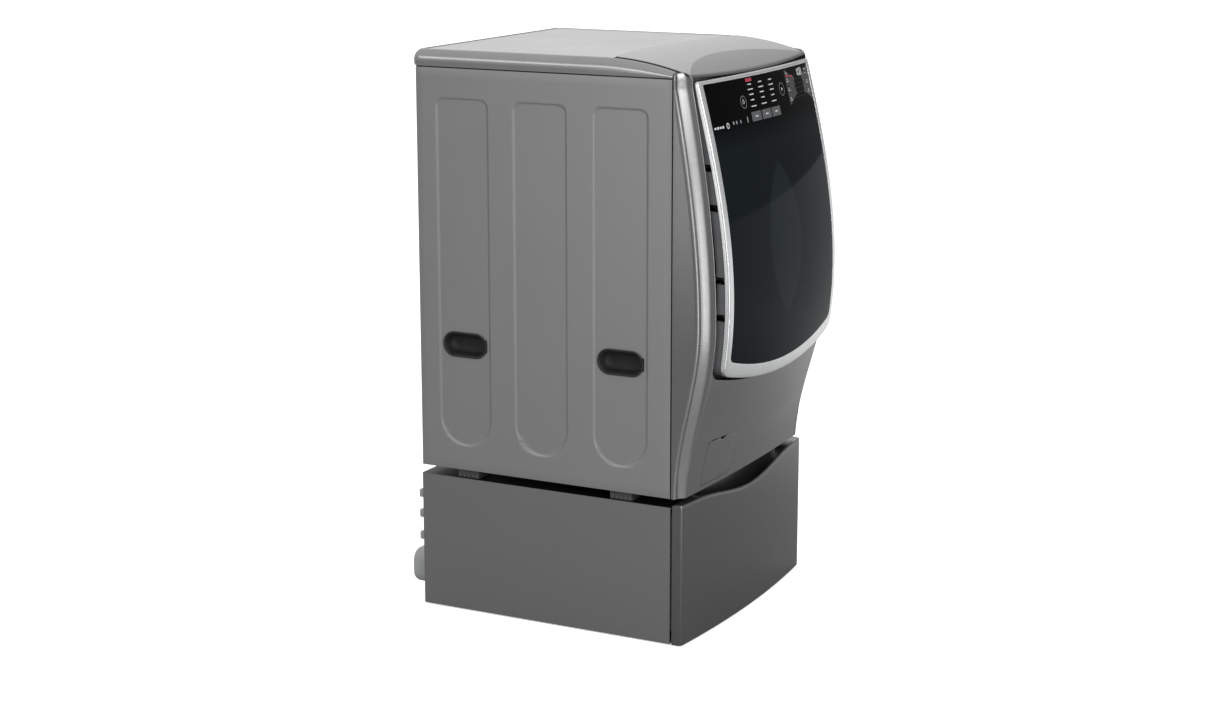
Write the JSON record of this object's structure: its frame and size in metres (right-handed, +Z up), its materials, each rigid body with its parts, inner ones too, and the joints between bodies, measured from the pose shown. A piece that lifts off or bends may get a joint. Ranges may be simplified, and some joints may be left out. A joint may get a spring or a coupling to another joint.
{
  "type": "front load washing machine",
  "caption": "Front load washing machine with a tall curved smoked-glass door, on a drawer pedestal holding a small second washer.",
  "frame": {"origin": "middle of the footprint of the whole machine, at floor level", "axes": "+Z up; the front with the door faces -Y; +X is to the right of someone facing the front"},
  "size_m": [0.746, 0.9088, 1.4335],
  "materials": {
    "black": "black",
    "board": "board",
    "brushed": "graphite steel, level grain",
    "brushed_dark": "dark graphite steel, level grain",
    "cast": "cast",
    "clear": "clear moulded",
    "concrete": "cast weight",
    "copper": "varnished winding",
    "dark": "dark grey",
    "foot": "dark grey",
    "grey": "mid grey",
    "inset": "light satin grey",
    "plastic": "light grey",
    "rubber": "grey boot rubber",
    "sheet": "satin graphite paint",
    "sheet_dark": "satin graphite paint, darker",
    "silver": "satin silver",
    "silver_dark": "satin silver-grey metallic paint",
    "smoked": "smoked black glass",
    "steel": "stainless",
    "tub": "grey filled plastic",
    "white": "off-white",
    "zinc": "zinc plated"
  },
  "bodies": {
    "cabinet": {"base_frame": "zinc", "boot_gasket": "rubber", "clip_left_front": "foot", "clip_left_rear": "foot", "clip_right_front": "foot", "clip_right_rear": "foot", "control_board": "black", "counterweight_lower": "concrete", "counterweight_upper": "concrete", "damper_left": "dark", "damper_right": "dark", "detergent_tray": "white", "door_lock": "black", "door_pocket": "grey", "drain_pump": "white", "front_panel": "brushed", "hinge_lower": "zinc", "hinge_upper": "zinc", "inlet_valve": "white", "lift_cup_left_front": "dark", "lift_cup_left_rear": "dark", "lift_cup_right_front": "dark", "lift_cup_right_rear": "dark", "pedestal_cabinet": "sheet_dark", "pedestal_rear_cover": "plastic", "rear_panel": "sheet", "service_cover": "sheet", "side_panel_left": "sheet", "side_panel_right": "sheet", "slide_left": "zinc", "slide_right": "zinc", "spring_left": "zinc", "spring_right": "zinc", "stator": "copper", "top_panel": "inset", "top_rail": "silver_dark", "tub_front": "tub", "tub_rear": "tub"},
    "door": {"door_trim": "silver", "door_glass": "smoked", "door_shell": "grey", "door_bowl": "clear", "touch_board": "board", "door_latch": "steel"},
    "drum_spin": {"drum": "steel", "spider_shaft": "cast", "rotor": "dark"},
    "dispenser_lid": {"dispenser_lid": "silver_dark"},
    "service_flap": {"service_flap": "brushed"},
    "filter_cap": {"filter_cap": "dark"},
    "drawer": {"drawer_front": "brushed_dark", "drawer_box": "plastic", "mini_tub": "tub", "mini_lid": "clear"},
    "mini_drum": {"mini_drum": "steel"},
    "pulsator": {"pulsator": "white"},
    "foot_left_front": {"foot_left_front": "foot"},
    "foot_left_rear": {"foot_left_rear": "foot"},
    "foot_right_front": {"foot_right_front": "foot"},
    "foot_right_rear": {"foot_right_rear": "foot"}
  },
  "joints": [
    {"name": "door_hinge", "type": "hinge", "parent": "cabinet", "child": "door", "pos_m": [-0.3, -0.4239, 0.825], "axis": [0, -0.109, -0.994], "range_deg": [0, 85]},
    {"name": "drum_turn", "type": "hinge", "parent": "cabinet", "child": "drum_spin", "pos_m": [0, -0.0024, 0.905], "axis": [0, 1, 0], "continuous": true},
    {"name": "dispenser_lid_hinge", "type": "hinge", "parent": "cabinet", "child": "dispenser_lid", "pos_m": [0, -0.1024, 1.4335], "axis": [-1, 0, 0], "range_deg": [0, 60]},
    {"name": "service_flap_hinge", "type": "hinge", "parent": "cabinet", "child": "service_flap", "pos_m": [-0.189, -0.3377, 0.3862], "axis": [0.9995, -0.0329, 0], "range_deg": [0, 80]},
    {"name": "filter_cap_turn", "type": "hinge", "parent": "cabinet", "child": "filter_cap", "pos_m": [-0.193, -0.2724, 0.434], "axis": [0, 1, 0], "range_deg": [0, 180]},
    {"name": "drawer_slide", "type": "slide", "parent": "cabinet", "child": "drawer", "axis": [0, -1, 0], "range_m": [0, 0.42]},
    {"name": "mini_drum_turn", "type": "hinge", "parent": "drawer", "child": "mini_drum", "pos_m": [0, 0.0326, 0.2], "axis": [0, 0, 1], "continuous": true},
    {"name": "pulsator_turn", "type": "hinge", "parent": "mini_drum", "child": "pulsator", "pos_m": [0, 0.0326, 0.11], "axis": [0, 0, 1], "continuous": true},
    {"name": "foot_left_front_screw", "type": "slide", "parent": "cabinet", "child": "foot_left_front", "axis": [0, 0, -1], "range_m": [0, 0.01]},
    {"name": "foot_left_rear_screw", "type": "slide", "parent": "cabinet", "child": "foot_left_rear", "axis": [0, 0, -1], "range_m": [0, 0.01]},
    {"name": "foot_right_front_screw", "type": "slide", "parent": "cabinet", "child": "foot_right_front", "axis": [0, 0, -1], "range_m": [0, 0.01]},
    {"name": "foot_right_rear_screw", "type": "slide", "parent": "cabinet", "child": "foot_right_rear", "axis": [0, 0, -1], "range_m": [0, 0.01]}
  ]
}
